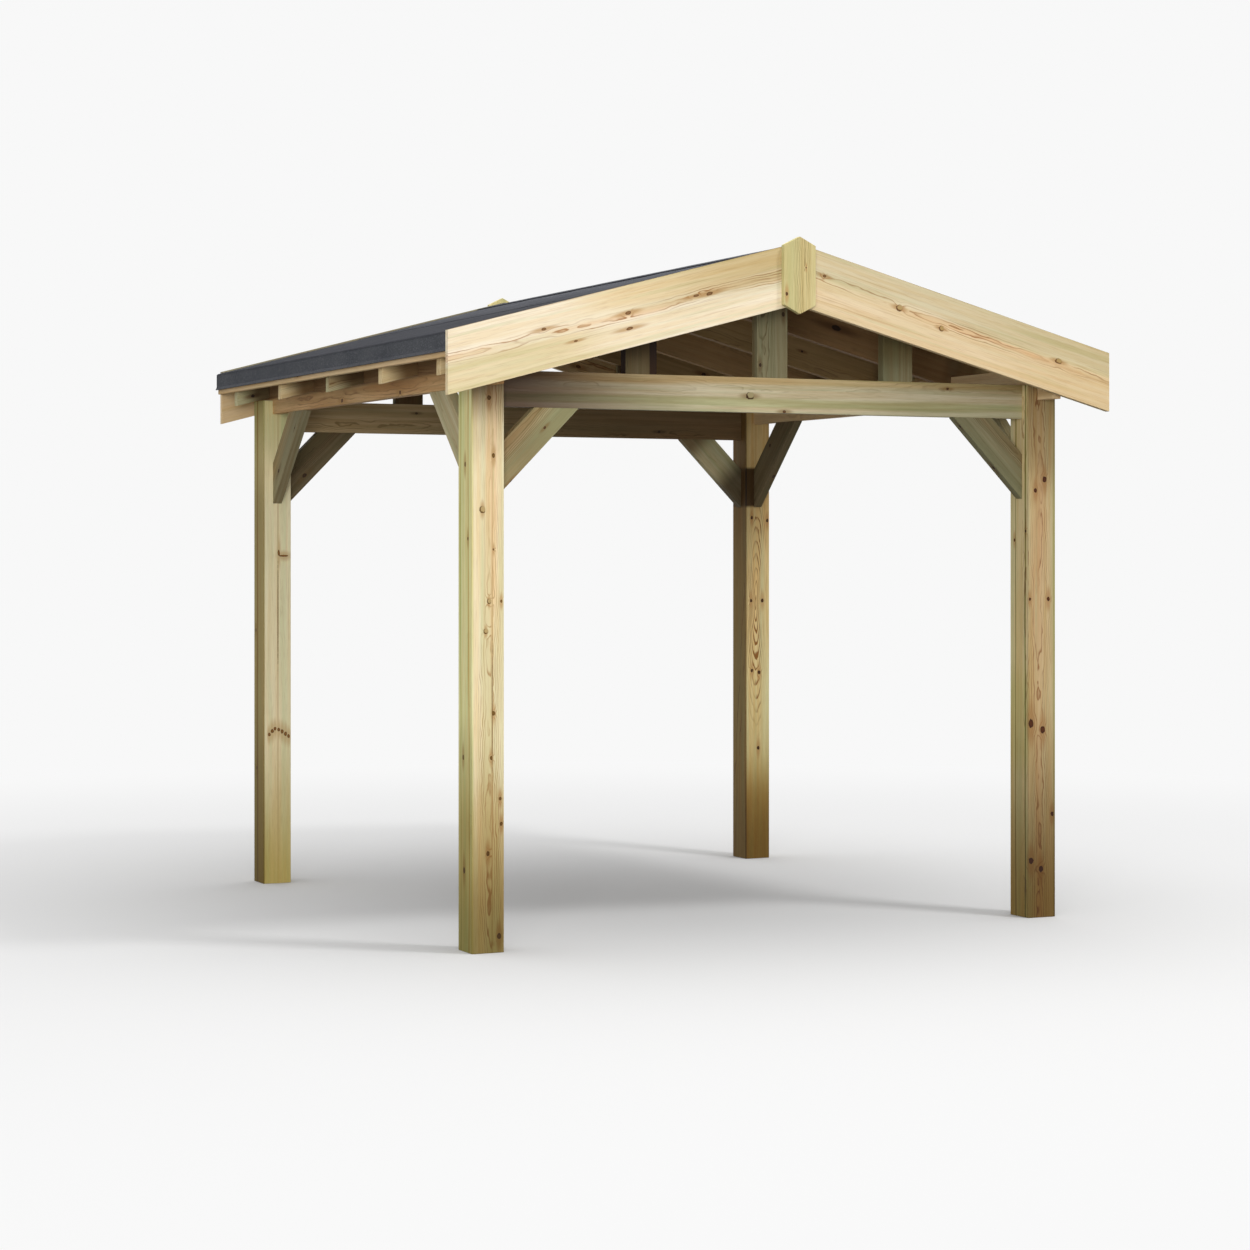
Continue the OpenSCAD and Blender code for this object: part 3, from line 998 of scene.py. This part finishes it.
# The timbers that the photograph shows plainly, with their knots on the faces where it shows them
SEEN: dict[str, Sawn] = {
    "front_left_post": Sawn(
        POST_PINE, pith=(0.012, -0.045),
        # Painted shade: darker towards the foot, and at the top of the front face under the barge board
        stains_and_shade=(StainAndShade(ALONG, 1.0, 0.02, "#9e9777", ragged=0.35),
            StainAndShade(ALONG, 0.6, 0.02, "#e8e4d8", only=(FRONT_FACE,)), LEFT_FACE.stain_and_shade("#f4ffe6"),
            StainAndShade(ALONG, 2.16, 2.34, "#a8a098", only=(FRONT_FACE,)),
            StainAndShade(ALONG, 0.4, 0.1, "#f8eedd", ragged=0.2, middle=0.42),
            StainAndShade(ALONG, 0.35, 0.15, "#eae9e4", middle=0.68, only=(LEFT_FACE,)),
            StainAndShade(THROUGH, 0.010, 0.002, "#e4cba6", ragged=0.04, middle=-0.038),
            StainAndShade(THROUGH, 0.010, 0.002, "#d9d9b8", ragged=0.04, middle=0.045)),
        knots=on_front(POST_FACE, (2.305, 0.005, 0.008), (2.065, 0.025, 0.007),
            (1.84, -0.025, 0.013, 1.1, True), (1.675, 0.025, 0.004), (1.46, 0.06, 0.005),
            (1.46, 0.005, 0.009, 1.2, True), (1.335, -0.01, 0.010, 1.1, True), (0.995, 0.025, 0.007),
            (0.81, 0.015, 0.006), (0.64, 0.055, 0.006), (0.535, 0.06, 0.006), (0.415, 0.0, 0.008),
            (0.07, 0.05, 0.009), (1.02, 0.019, 0.0016, 160.0)) + on_left(POST_FACE, (0.81, 0.02, 0.008),
            (0.34, 0.01, 0.010), (2.03, 0.0, 0.008), (1.72, -0.03, 0.006))),
    "front_right_post": Sawn(
        PINK_POST, pith=(-0.005, -0.05),
        # Painted shade: darker towards the foot, over the front face, and most on the upper front face under
        # the barge board
        stains_and_shade=(StainAndShade(ALONG, 1.15, 0.05, "#958763", ragged=0.35),
            StainAndShade(ALONG, 1.75, 2.25, "#ddd8cc", only=(FRONT_FACE,)),
            StainAndShade(THROUGH, -0.062, -0.0715, "#e4dcdb"),
            StainAndShade(ACROSS, 0.056, 0.068, "#d2d8b4", ragged=0.015),
            StainAndShade(ALONG, 0.3, 0.12, "#edefdc", middle=0.9, only=(LEFT_FACE,)),
            StainAndShade(THROUGH, 0.008, 0.001, "#93976a", ragged=0.03, middle=-0.045, only=(LEFT_FACE,)),
            StainAndShade(THROUGH, 0.007, 0.001, "#a9a67c", ragged=0.03, middle=0.03, only=(LEFT_FACE,))),
        knots=on_front(POST_FACE, (1.995, 0.015, 0.010), (1.945, -0.035, 0.008), (1.45, 0.035, 0.008),
            (1.45, -0.065, 0.006), (0.855, 0.005, 0.012), (0.885, -0.058, 0.013, 1.5),
            (0.47, 0.055, 0.008), (0.22, -0.005, 0.011), (0.26, -0.058, 0.012)) + on_left(POST_FACE,
            (1.76, -0.05, 0.006), (1.72, 0.04, 0.006))),
    "back_left_post": Sawn(
        PALE_POST, pith=(0.0, -0.04),
        # Painted shade: darker towards the foot and the top, and on the left face, more so below its top and
        # towards the foot
        stains_and_shade=(StainAndShade(ALONG, 0.9, 0.0, "#c6ba88", ragged=0.3), LEFT_FACE.stain_and_shade("#c9c2a8"),
            StainAndShade(ALONG, 2.25, 1.85, "#d0cbb8", only=(LEFT_FACE,)),
            StainAndShade(ALONG, 1.0, 0.5, "#e9e4d8", only=(LEFT_FACE,)),
            StainAndShade(THROUGH, 0.014, 0.004, "#cdb28c", ragged=0.03, middle=0.02),
            StainAndShade(ALONG, 2.0, 2.3, "#e6ead6")),
        knots=on_front(POST_FACE, (1.66, 0.008, 0.006, 2.4), (1.645, 0.035, 0.024, 0.2),
            (1.35, 0.004, 0.0022, 115.0), (0.777, -0.012, 0.007), (0.765, -0.026, 0.008),
            (0.748, -0.042, 0.007), (0.772, 0.008, 0.007), (0.762, 0.026, 0.008), (0.75, 0.044, 0.008),
            (0.738, 0.06, 0.007)) + on_left(POST_FACE, (1.27, 0.045, 0.007), (0.575, 0.03, 0.007))),
    "back_right_post": Sawn(
        GOLD_POST, pith=(-0.01, 0.082), lean=(0.0, 0.11),
        # Painted shade: darker towards the foot and the top, on the left face, and in a band where the
        # braces meet, on the left face and the left part of the front face
        stains_and_shade=(StainAndShade(ALONG, 1.0, 0.02, "#b6ae88", ragged=0.35, only=(FRONT_FACE,)),
            StainAndShade(ALONG, 0.6, 0.05, "#d2cabc"),
            StainAndShade(ALONG, 0.62, 0.3, "#dccbb0", ragged=0.1, only=(FRONT_FACE,)),
            StainAndShade(ALONG, 1.35, 1.95, "#e4d6c8"), LEFT_FACE.stain_and_shade("#998d79"),
            StainAndShade(ALONG, 0.115, 0.095, "#b8b0b0", middle=2.015, only=(LEFT_FACE,)),
            StainAndShade(ALONG, 0.115, 0.095, "#5a4d3a", middle=2.015, only=(FRONT_FACE, NEAR_LEFT))),
        knots=on_front(POST_FACE, (1.835, 0.06, 0.007), (1.85, -0.035, 0.007), (1.4, 0.03, 0.008),
            (1.4, -0.04, 0.007), (1.01, 0.01, 0.008), (1.02, -0.035, 0.007), (0.6, 0.005, 0.008))),
    "front_tie_beam": Sawn(
        TIE_PINE,
        # Painted shade: the left end is darker, under the barge board
        stains_and_shade=(StainAndShade(ALONG, 1.1, 0.05, "#796b6b", ragged=0.2), StainAndShade(ALONG, 1.55, 2.1, "#e6e4e0"),
            StainAndShade(ACROSS, 0.035, 0.055, "#f3e3c9", ragged=0.04),
            StainAndShade(ACROSS, 0.028, 0.008, "#dfe6cf", ragged=0.03, middle=-0.032)),
        knots=on_front(BEAM_FACE, (1.19, -0.005, 0.016, 1.2, True), (1.36, -0.07, 0.006),
            (2.2, 0.05, 0.005))),
    "back_tie_beam": Sawn(
        BACK_PINE,
        stains_and_shade=(StainAndShade(ALONG, 0.6, 2.4, "#aea39a"),),
        knots=on_front(BEAM_FACE, (0.7, 0.03, 0.005), (2.1, -0.04, 0.006))),
    "left_eaves_plate": Sawn(
        PLATE_PINE, pith=(-0.02, 0.01),
        # Painted shade: the upper part, between the rafter tails and under the roof boards
        stains_and_shade=(StainAndShade(ACROSS, -0.008, 0.012, "#b4b0b0"),),
        knots=on_front(BEAM_FACE, (1.8, -0.055, 0.009), (1.055, -0.055, 0.008), (0.4, 0.03, 0.007))),
    "right_eaves_plate": Sawn(PALE_PLATE),
    "front_king_post": Sawn(
        DARK_PINE,
        knots=on_front(BEAM_FACE, (0.28, 0.055, 0.007), (0.055, -0.06, 0.006))),
    "front_left_strut": Sawn(
        BROWN_PINE,
        # Painted shade: a dark band along the right edge, and the left side face darkened
        stains_and_shade=(StainAndShade(ALONG, 0.0, 0.12, "#b8ac98"), StainAndShade(ACROSS, 0.036, 0.044, "#7a5a42"),
            StainAndShade(ACROSS, -0.0730, -0.0745, "#74553e")),
        knots=on_front(-BEAM_FACE, (0.15, 0.03, 0.005))),
    "front_right_strut": Sawn(
        DARK_PINE,
        stains_and_shade=(StainAndShade(ALONG, 0.0, 0.15, "#cfc4ae"),),
        knots=on_front(-BEAM_FACE, (0.12, 0.02, 0.005))),
    "back_left_strut": BACK_GABLE,
    "back_right_strut": BACK_GABLE,
    "back_king_post": BACK_GABLE,
    "front_left_gable_brace": Sawn(FRAME_PINE, stains_and_shade=(StainAndShade(ALONG, 0.1, 0.35, "#e9dfdc"),)),
    "front_right_gable_brace": Sawn(DARK_PINE),
    "back_left_gable_brace": Sawn(BROWN_PINE),
    "back_right_gable_brace": Sawn(
        LIGHT_PINE,
        # Painted shade: both ends darker, in the shade next to the post and the beam
        stains_and_shade=(StainAndShade(ALONG, 0.17, 0.06, "#aa9e94"), StainAndShade(ALONG, 0.24, 0.385, "#7d7671"))),
    "front_left_side_brace": Sawn(SIDE_PINE),
    "back_left_side_brace": Sawn(OLIVE_PINE),
    "back_right_side_brace": Sawn(BROWN_PINE),
    "right_rafter_2": Sawn(
        CREAM_PINE,
        # Painted shade inwards of the tail and along the eaves
        stains_and_shade=(INSIDE_SHADE.stain_and_shade("#9c887a"), EAVES_SHADE),
        knots=on_front(BEAM_FACE, (0.73, 0.02, 0.012, 2.0), (1.1, -0.04, 0.006))),
    "front_left_barge_board": Sawn(
        BARGE_PINE, pith=(0.01, -0.004),
        stains_and_shade=(StainAndShade(ACROSS, 0.0, 0.07, "#f4ecd8", ragged=0.08, only=(LOW_END,)),
            StainAndShade(ALONG, 1.0, 0.15, "#ddd8c7", ragged=0.15, only=(UPPER_HALF,)),
            StainAndShade(ALONG, 0.85, 1.2, "#f3eddc", ragged=0.15, only=(LOWER_HALF,)), DARK_TOP_EDGE),
        knots=on_front(BARGE_FACE, (1.26, 0.035, 0.006, 2.0), (0.865, 0.015, 0.007, 1.8),
            (0.875, -0.05, 0.006, 2.6), (0.47, 0.01, 0.007, 2.2), (0.535, 0.015, 0.005, 2.6),
            (1.13, -0.045, 0.004, 2.4))),
    "front_right_barge_board": Sawn(
        BARGE_PINE, pith=(0.015, -0.004),
        stains_and_shade=(StainAndShade(ACROSS, 0.0, 0.05, "#e0ddcf", ragged=0.08), DARK_TOP_EDGE,
            StainAndShade(ACROSS, 0.03, -0.01, "#f0e6d6", ragged=0.04),
            StainAndShade(ALONG, 0.8, 1.5, "#f8f4e9", ragged=0.3)),
        knots=on_front(BARGE_FACE, (0.56, 0.005, 0.014, 1.2, True), (0.79, -0.02, 0.012, 1.1, True),
            (0.165, 0.03, 0.006), (1.42, 0.015, 0.012, 1.5, True))),
    "back_left_barge_board": BACK_BARGE,
    "back_right_barge_board": BACK_BARGE,
    "front_finial": Sawn(
        FINIAL_PINE, pith=(0.028, -0.004),
        knots=on_front(FINIAL_FACE, (0.085, -0.065, 0.006), (0.2, 0.03, 0.003))),
}


def down_slope(pitch: float, side: int) -> Vec:
    """Unit direction from the ridge down to the eaves of one side."""
    return (side * math.cos(pitch), 0.0, -math.sin(pitch))


@dataclass
class Carpentry:
    """Timbers of the CAD frame."""

    cad: Cad

    def place(self, node: str, run: Vec, slot: Slot, unseen: Sawn = COMMON, **shape: Any) -> None:
        """Builds one timber, sawn as the photograph shows it or else as given for unseen ones."""
        Timber(node, run, SEEN.get(node, unseen), slot, **shape).build(self.cad)


@dataclass
class PostFrame(Carpentry):
    """The four posts with the tie beams, eaves plates and knee braces, which lean at 45 degrees."""

    post_ease: float = 2.0 * MM
    lean: float = math.sqrt(0.5)

    def build(self) -> None:
        """Builds the posts, the beams and the braces."""
        for end, e in ENDS.items():
            self.place(f"{end}_tie_beam", X_AXIS, Slot.FRAME)
            for side, s in SIDES.items():
                corner, sideways, lengthways = f"{end}_{side}", s * self.lean, e * self.lean
                self.place(f"{corner}_post", Z_AXIS, Slot.FRAME, ease=self.post_ease)
                self.place(f"{corner}_gable_brace", (sideways, 0.0, -self.lean), Slot.FRAME)
                self.place(f"{corner}_side_brace", (0.0, lengthways, -self.lean), Slot.FRAME,
                           carry=Carry.LEFT_TO_RIGHT)
        for side in SIDES:
            self.place(f"{side}_eaves_plate", Y_AXIS, Slot.FRAME)


@dataclass
class Gables(Carpentry):
    """The open gables: king posts, struts, barge boards and finials."""

    pitch: float
    finial: Sawn = Sawn(FINIAL_PINE)

    def build(self) -> None:
        """Builds both gables."""
        for end in ENDS:
            self.place(f"{end}_king_post", Z_AXIS, Slot.FRAME)
            self.place(f"{end}_finial", Z_AXIS, Slot.BARGE, self.finial)
            for side, s in SIDES.items():
                self.place(f"{end}_{side}_strut", Z_AXIS, Slot.FRAME)
                self.place(f"{end}_{side}_barge_board", down_slope(self.pitch, s), Slot.BARGE)


@dataclass
class RoofFrame(Carpentry):
    """The ridge beam, the five pairs of rafters, in turn grey and cream, and the fascias."""

    pitch: float
    rafters: int = 5
    trim_ease: float = 2.0 * MM
    beam: Sawn = Sawn(ROOF_PINE)
    # The cream and grey rafters darken inwards of their tails and along the eaves, as painted shade under
    # the roof
    cream: Sawn = Sawn(CREAM_PINE, stains_and_shade=(INSIDE_SHADE.stain_and_shade("#c8b6a8"), EAVES_SHADE))
    grey: Sawn = Sawn(GREY_PINE, stains_and_shade=(INSIDE_SHADE.stain_and_shade("#d6b9a5"), EAVES_SHADE))
    front: Sawn = Sawn(FRONT_PINE)
    trim: Sawn = Sawn(FASCIA_PINE)

    def build(self) -> None:
        """Builds the timbers that carry the roof boards."""
        self.place("ridge_beam", Y_AXIS, Slot.ROOF, self.beam)
        for side, s in SIDES.items():
            for number in range(1, self.rafters + 1):
                tone = self.front if number == 1 else self.grey if number % 2 else self.cream
                self.place(f"{side}_rafter_{number}", down_slope(self.pitch, s), Slot.ROOF, tone)
            self.place(f"{side}_fascia", Y_AXIS, Slot.BARGE, self.trim, ease=self.trim_ease)


@dataclass
class RoofBoards:
    """Tongue and groove boards along both slopes, with a V at each joint below.

    In the grain frame each board starts board_shift metres after the one above it, so no two look alike.
    """

    cad: Cad
    pitch: float
    board_w: float = 112 * MM
    joint: float = 1.0 * MM
    chamfer: float = 6.0 * MM
    ease: float = 0.5 * MM
    board_shift: float = 9.0
    knot_start: float = 0.1
    knot_spread: float = 0.4
    knot_mm: tuple[float, float] = (5, 9)

    def build(self) -> None:
        """Builds each slope's boards as one piece."""
        cos, sin, edge = math.cos(self.pitch), math.sin(self.pitch), self.chamfer
        for side, s in SIDES.items():
            node = f"{side}_roof_boards"
            outline, start, stop = self.cad.outline(node)
            reach = np.abs(outline[:, 0])
            ridge = outline[reach < SAME_POINT][:, 1]
            top, thick = float(ridge.max()), float(np.ptp(ridge)) * cos
            slope = float(reach.max()) / cos
            count = round(slope / self.board_w)
            width = slope / count
            deep = np.array([0.0, thick - edge, thick, thick, thick - edge, 0.0])
            shells = []
            for k in range(count):
                low, high = k * width + self.joint / 2, (k + 1) * width - self.joint / 2
                down = np.array([low, low, low + edge, high - edge, high, high])
                inside = np.clip(down * cos - deep * sin, SAME_POINT, None)
                flat = np.stack([s * inside, top - down * sin - deep * cos], axis=1)
                points, faces = eased_prism(flat[::s], start, stop, Carry.FRONT_TO_BACK, self.ease)
                x, y, z = points.T
                along, across = y - start + self.board_shift * k, s * x / cos - (k + 0.5) * width
                shells.append(Shell(points, faces, np.stack([along, across, z - z.mean()], axis=1)))
            rng = np.random.default_rng(crc32(node.encode()))
            knots = tuple(
                Knot(
                    float(self.board_shift * k + rng.uniform(self.knot_start, stop - start)),
                    float(rng.uniform(-self.knot_spread, self.knot_spread) * width),
                    -thick,
                    float(rng.uniform(*self.knot_mm) * MM),
                )
                for k in range(count)
            )
            finish = PineNodes(node, Sawn(BOARD_PINE), knots).build()
            Shell.joined(shells).to_object(f"{node}_tongue_and_groove", Slot.ROOF, finish, (node,))


@dataclass(frozen=True)
class FeltSection:
    """The felt's CAD section, turned to the right-hand side: heights and reaches from the ridge, in metres.

    The felt's face turns down at the eaves, and below the knee its drip kicks out to the foot.
    """

    top: float
    under: float
    face: float
    inner: float
    knee: float
    kick_out: float
    kick_in: float
    foot: float

    @staticmethod
    def read(reach: Array, height: Array) -> "FeltSection":
        """Finds the section's sizes in its corners, of which the two lowest are the drip's.

        Args:
            reach: the corners' distances from the ridge.
            height: their heights.

        Returns:
            The section.
        """
        ridge, foot = height[reach < SAME_POINT], height.min()
        drip, at_foot = reach.max(), reach[height < foot + SAME_POINT].min()
        face = reach[np.argsort(height)][2:].max()
        knee = np.unique(height.round(DIGITS))[1]
        sizes = (ridge.max(), ridge.min(), face, at_foot - (drip - face), knee, drip, at_foot, foot)
        return FeltSection(*map(float, sizes))


@dataclass
class RoofFelt:
    """Felt in two courses on each slope, a capping strip along the ridge, and a welted drip at the eaves.

    The upper course covers the slope down to course, and the lower sheet rises to its own level below that
    lap. The waves are (length in metres, share of a turn) pairs.
    """

    cad: Cad
    pitch: float
    upper_t: float = 1.5 * MM
    course: float = 860 * MM
    lap_gap: float = 50 * MM
    lap_rise: float = 300 * MM
    ridge_gap: float = 4 * MM
    eaves_gap: float = 10 * MM
    under_gap: float = 20 * MM
    bend: float = 6 * MM
    cap_half: float = 160 * MM
    cap_t: float = 1.5 * MM
    cap_crown: float = 12 * MM
    cap_loose: float = 0.3
    eaves_loose: float = 0.2
    ripple: float = 1.2 * MM
    ripple_fade: float = 0.15
    waves: tuple[tuple[float, float], ...] = ((0.83, 0.1), (0.47, 0.6), (0.29, 0.35))
    bays: int = 96
    slope_points: int = 20
    course_points: int = 14
    under_points: int = 8
    bend_points: int = 5
    cap_points: int = 25

    def carried(self, loop: Array, start: float, stop: float, loose: Array) -> Shell:
        """Carries a closed profile from front to back, with slow ripples where it lies loose.

        A point's height gains ripple times loose times a mean of three sines of y.

        Args:
            loop: profile points in X and Z, anticlockwise.
            start: front end.
            stop: back end.
            loose: share of the ripple at each profile point.

        Returns:
            The sheet.
        """
        y = np.linspace(start, stop, self.bays + 1)
        sines = [np.sin(2 * math.pi * (y / length + turn)) for length, turn in self.waves]
        wave = sum(sines) / len(sines)
        fade = np.minimum(1.0, np.minimum(y - start, stop - y) / self.ripple_fade)
        points = np.empty((len(y), len(loop), 3))
        points[:, :, 0] = loop[:, 0]
        points[:, :, 1] = y[:, None]
        points[:, :, 2] = loop[:, 1] + self.ripple * (wave * fade)[:, None] * loose
        flat = points.reshape(-1, 3)
        return Shell(flat, tube_faces(len(y), len(loop)), flat.copy())

    def on_slope(self, under: float, down: Array, lift: Array | float) -> Array:
        """Points in X and Z, from distances down the slope and square to the boards."""
        cos, sin = math.cos(self.pitch), math.sin(self.pitch)
        return np.stack([down * cos + lift * sin, under - down * sin + lift * cos], axis=1)

    def lower_sheet(self, felt: FeltSection) -> tuple[Array, Array]:
        """Draws the sheet that covers the slope and turns down at the eaves to the drip.

        Args:
            felt: the CAD section.

        Returns:
            Profile points, clockwise, and how loose the sheet lies at each.
        """
        slant, eaves = math.tan(self.pitch), felt.face / math.cos(self.pitch)
        base = (felt.top - felt.under) * math.cos(self.pitch) - self.upper_t
        down = np.linspace(self.ridge_gap, eaves - self.eaves_gap, self.slope_points)
        rise = np.clip((down - self.course - self.lap_gap) / self.lap_rise, 0, 1)
        outer = self.on_slope(felt.under, down, base + self.upper_t * rise)
        turn = np.linspace(0, QUARTER_TURN, self.bend_points)
        middle = np.array([felt.face, felt.top - felt.face * slant]) - self.bend
        corner = middle + self.bend * np.stack([np.sin(turn), np.cos(turn)], axis=1)
        drop = np.array([
            [felt.face, felt.knee], [felt.kick_out, felt.foot], [felt.kick_in, felt.foot],
            [felt.inner, felt.knee], [felt.inner, felt.under - felt.inner * slant]])
        back = np.linspace(eaves - self.under_gap, self.ridge_gap, self.under_points)
        profile = np.concatenate([outer, corner, drop, self.on_slope(felt.under, back, 0.0)])
        slack = np.linspace(1, self.eaves_loose, len(outer))
        loose = np.concatenate([slack, np.zeros(len(corner) + len(drop)), np.linspace(0, 1, len(back))])
        return profile, loose

    def build(self) -> None:
        """Builds the felt of both slopes and the capping, whose section is a flat hyperbola."""
        reads = {side: self.cad.outline(f"{side}_roof_felt") for side in SIDES}
        felts = {side: FeltSection.read(*(reads[side][0] * [s, 1.0]).T) for side, s in SIDES.items()}
        left = felts["left"]
        finish = Felt().material(left.top - left.face * math.tan(self.pitch))
        for side, s in SIDES.items():
            _, start, stop = reads[side]
            lower, loose = self.lower_sheet(felts[side])
            under, full = felts[side].under, (felts[side].top - felts[side].under) * math.cos(self.pitch)
            down = np.linspace(self.ridge_gap, self.course, self.course_points)
            below = self.on_slope(under, down[::-1], full - self.upper_t)
            upper = np.concatenate([self.on_slope(under, down, full), below])
            sheets = [(lower, loose), (upper, np.ones(len(upper)))]
            turned = [((loop * [s, 1.0])[::-s], slack[::-s]) for loop, slack in sheets]
            joined = Shell.joined([self.carried(loop, start, stop, slack) for loop, slack in turned])
            joined.to_object(f"{side}_roof_felt_courses", Slot.FELT, finish, (f"{side}_roof_felt",))
        width = np.linspace(-self.cap_half, self.cap_half, self.cap_points)
        fall = (np.sqrt(width**2 + self.cap_crown**2) - self.cap_crown) * math.tan(self.pitch)
        line = np.stack([width, felts["right"].top - fall], axis=1)
        cap = np.concatenate([line, (line + [0.0, self.cap_t])[::-1]])
        strip = self.carried(cap, start, stop, np.full(len(cap), self.cap_loose))
        strip.to_object("ridge_felt_capping", Slot.FELT, finish, ())


@dataclass(frozen=True)
class Lamp:
    """A square soft box: its name, its middle, the point that it faces, its side in metres and its watts."""

    name: str
    place: Vec
    aim: Vec
    size: float
    watts: float

    def hang(self) -> None:
        """Makes the lamp and turns it to the point that it faces."""
        data = bpy.data.lights.new(self.name, "AREA")
        data.size = self.size
        data.energy = self.watts
        made = bpy.data.objects.new(self.name, data)
        made.location = self.place
        x, y, z = np.array(self.aim) - np.array(self.place)
        made.rotation_euler = (math.atan2(math.hypot(x, y), -z), 0.0, math.atan2(y, x) - QUARTER_TURN)
        bpy.context.scene.collection.objects.link(made)


LAMPS = (
    Lamp("overhead_box", (0.3, 0.2, 14.0), (0.0, 0.0, 1.2), size=15.0, watts=1056.0),
    Lamp("key_box", (4.77, -6.67, 12.5), (0.0, 0.0, 1.2), size=1.9, watts=600.0),
    Lamp("front_box", (-7.0, -12.12, 2.4), (0.0, 0.0, 1.4), size=4.5, watts=700.0),
)
EYE_RAYS = ("Is Camera Ray", "Is Glossy Ray")
CLEAR_RAYS = (*EYE_RAYS, "Is Transmission Ray")


@dataclass
class Studio:
    """Pale floor, soft lamps and the photograph's camera.

    The floor takes the shadow up to floor_near and is white from floor_far on. It throws bounce back.
    """

    image_px: float = 1250.0
    focal_px: float = 2785.35
    centre_px: tuple[float, float] = (550.03, 551.3)
    eye: Vec = (-5.92861, -12.03313, 1.66765)
    turn_right: float = math.radians(24.5)
    sensor_mm: float = 36.0
    sight: float = 200.0
    floor_half: float = 60.0
    floor_near: float = 1.6
    floor_far: float = 8.5
    paper: str = "#d3d3d3"
    bounce: str = "#555555"
    white: str = "#f8f8f8"
    room: str = "#ffffff"
    room_strength: float = 0.72

    def camera(self) -> None:
        """Makes a level camera with the photograph's lens and framing."""
        data = bpy.data.cameras.new("camera")
        data.sensor_width = self.sensor_mm
        data.lens = self.sensor_mm * self.focal_px / self.image_px
        data.shift_x = 0.5 - self.centre_px[0] / self.image_px
        data.shift_y = self.centre_px[1] / self.image_px - 0.5
        data.clip_end = self.sight
        made = bpy.data.objects.new("camera", data)
        made.location = self.eye
        made.rotation_euler = (QUARTER_TURN, 0.0, -self.turn_right)
        bpy.context.scene.collection.objects.link(made)
        bpy.context.scene.camera = made

    @staticmethod
    def sent_by(add: Adder, rays: tuple[str, ...]) -> Socket:
        """Adds a switch that is one for some kinds of ray.

        Args:
            add: the function that adds a node.
            rays: names of the kinds.

        Returns:
            Output socket of the switch.
        """
        path = add("ShaderNodeLightPath").node.outputs
        found = path[rays[0]]
        for ray in rays[1:]:
            found = add("ShaderNodeMath", {0: found, 1: path[ray]}, operation="MAXIMUM")
        return found

    def floor(self) -> None:
        """Makes the floor: it takes the shadow near the gazebo and fades to white far off."""
        mesh = bpy.data.meshes.new("studio_floor")
        h = self.floor_half
        mesh.from_pydata([(-h, -h, 0.0), (h, -h, 0.0), (h, h, 0.0), (-h, h, 0.0)], [], [[0, 1, 2, 3]])
        made = bpy.data.materials.new("matt_white_paper")
        add = emptied(made)
        place = add("ShaderNodeTexCoord", out="Object")
        away = add("ShaderNodeVectorMath", {0: place}, "Value", operation="LENGTH")
        fade = add("ShaderNodeMapRange", Share(self.floor_near, self.floor_far).of(away), **SMOOTH)
        seen = self.sent_by(add, EYE_RAYS)
        tones = {FACTOR: seen, BELOW: linear(self.bounce), ABOVE: linear(self.paper)}
        paper = add("ShaderNodeMix", tones, MIXED, data_type="RGBA")
        matt = add("ShaderNodeBsdfDiffuse", {"Color": paper})
        white = add("ShaderNodeEmission", {"Color": linear(self.white), "Strength": 1.0})
        both = add("ShaderNodeMath", {0: fade, 1: seen}, operation="MULTIPLY")
        mixed = add("ShaderNodeMixShader", {0: both, 1: matt, 2: white})
        add("ShaderNodeOutputMaterial", {"Surface": mixed})
        mesh.materials.append(made)
        floor = bpy.data.objects.new("studio_floor", mesh)
        bpy.context.scene.collection.objects.link(floor)

    def world(self) -> None:
        """Lights the room evenly and shows white behind the gazebo."""
        world = bpy.data.worlds.new("studio")
        bpy.context.scene.world = world
        add = emptied(world)
        light = {"Color": linear(self.room), "Strength": self.room_strength}
        room = add("ShaderNodeBackground", light)
        white = add("ShaderNodeBackground", {"Color": linear(self.white), "Strength": 1.0})
        clear = self.sent_by(add, CLEAR_RAYS)
        mixed = add("ShaderNodeMixShader", {0: clear, 1: room, 2: white})
        add("ShaderNodeOutputWorld", {"Surface": mixed})

    def build(self) -> None:
        """Sets up the whole studio."""
        bpy.context.scene.view_settings.view_transform = "Standard"
        self.camera()
        self.floor()
        self.world()
        for lamp in LAMPS:
            lamp.hang()


def main() -> None:
    """Builds the gazebo and the studio."""
    logging.basicConfig(level=logging.INFO, format="%(name)s %(message)s")
    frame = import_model()
    cad = Cad(frame["nodes"])
    pitch = cad.pitch()
    log.info("roof pitch %.2f degrees", math.degrees(pitch))
    PostFrame(cad).build()
    for roof in (Gables, RoofFrame, RoofBoards, RoofFelt):
        roof(cad, pitch).build()
    Studio().build()


if __name__ == "__main__":
    main()
